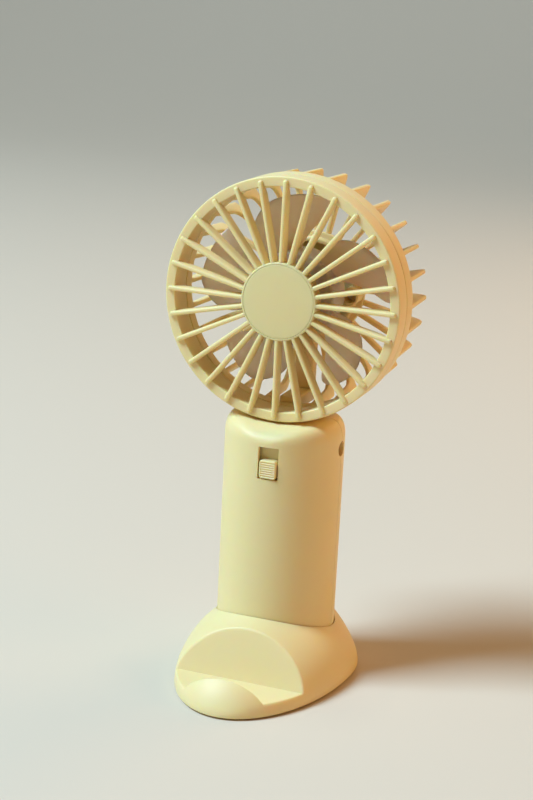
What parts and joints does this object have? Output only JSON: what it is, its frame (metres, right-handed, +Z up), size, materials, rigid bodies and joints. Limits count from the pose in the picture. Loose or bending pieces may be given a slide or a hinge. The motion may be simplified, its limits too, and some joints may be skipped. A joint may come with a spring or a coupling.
{
  "type": "handheld electric fan",
  "caption": "Handheld electric fan with a round ribbed head on a tubular handle, standing in a domed phone-stand base.",
  "frame": {"origin": "on the bottom face of the base, under the axis of the handle", "axes": "+Z up along the handle, the fan blows towards -Y, +X to the right seen from the front"},
  "size_m": [0.084, 0.0896, 0.1764],
  "materials": {
    "body": "satin moulded, pastel butter yellow",
    "blade": "frosted off-white, slightly see-through moulding",
    "rubber": "matt grey non-slip sheet",
    "steel": "plain zinc-plated steel",
    "brass": "plain sintered bronze",
    "copper": "enamelled copper wire",
    "ferrite": "dark bonded ferrite",
    "board": "green solder mask",
    "chip": "black moulded package",
    "cell": "shrink-wrapped blue sleeve",
    "nickel": "nickel-plated strip",
    "lead_red": "red wire insulation",
    "lead_black": "black wire insulation"
  },
  "bodies": {
    "base": {"base_shell": "body", "base_plate": "body", "foot_pad": "rubber", "base_screw_1": "steel", "base_screw_2": "steel", "base_screw_3": "steel"},
    "handle": {"handle_front_shell": "body", "handle_rear_shell": "body", "shell_screw_left": "steel", "shell_screw_right": "steel", "lanyard_tube": "body", "battery_cell": "cell", "battery_tab_top": "nickel", "battery_tab_bottom": "nickel", "control_board": "board", "control_chip": "chip", "slide_switch": "steel", "charge_board": "board", "charge_port": "nickel", "charge_lead_red": "lead_red", "charge_lead_black": "lead_black", "front_grille": "body", "grille_cap": "body", "rear_cage": "body", "rear_cap": "body", "cap_screw_1": "steel", "cap_screw_2": "steel", "cap_screw_3": "steel", "bearing_sleeve": "brass", "stator_core": "steel", "stator_coil_1": "copper", "stator_coil_2": "copper", "stator_coil_3": "copper", "stator_coil_4": "copper", "motor_board": "board", "motor_lead_red": "lead_red", "motor_lead_black": "lead_black"},
    "rotor": {"impeller": "blade", "rotor_yoke": "steel", "magnet_ring": "ferrite", "motor_shaft": "steel", "shaft_clip": "steel"},
    "switch": {"switch_knob": "body"}
  },
  "joints": [
    {"name": "handle_lift", "type": "slide", "parent": "base", "child": "handle", "axis": [0, 0, 1], "range_m": [0, 0.04]},
    {"name": "rotor_spin", "type": "hinge", "parent": "handle", "child": "rotor", "pos_m": [0, 0, 0.1344], "axis": [0, 1, 0], "continuous": true},
    {"name": "switch_slide", "type": "slide", "parent": "handle", "child": "switch", "axis": [0, 0, 1], "range_m": [0, 0.0036]}
  ]
}
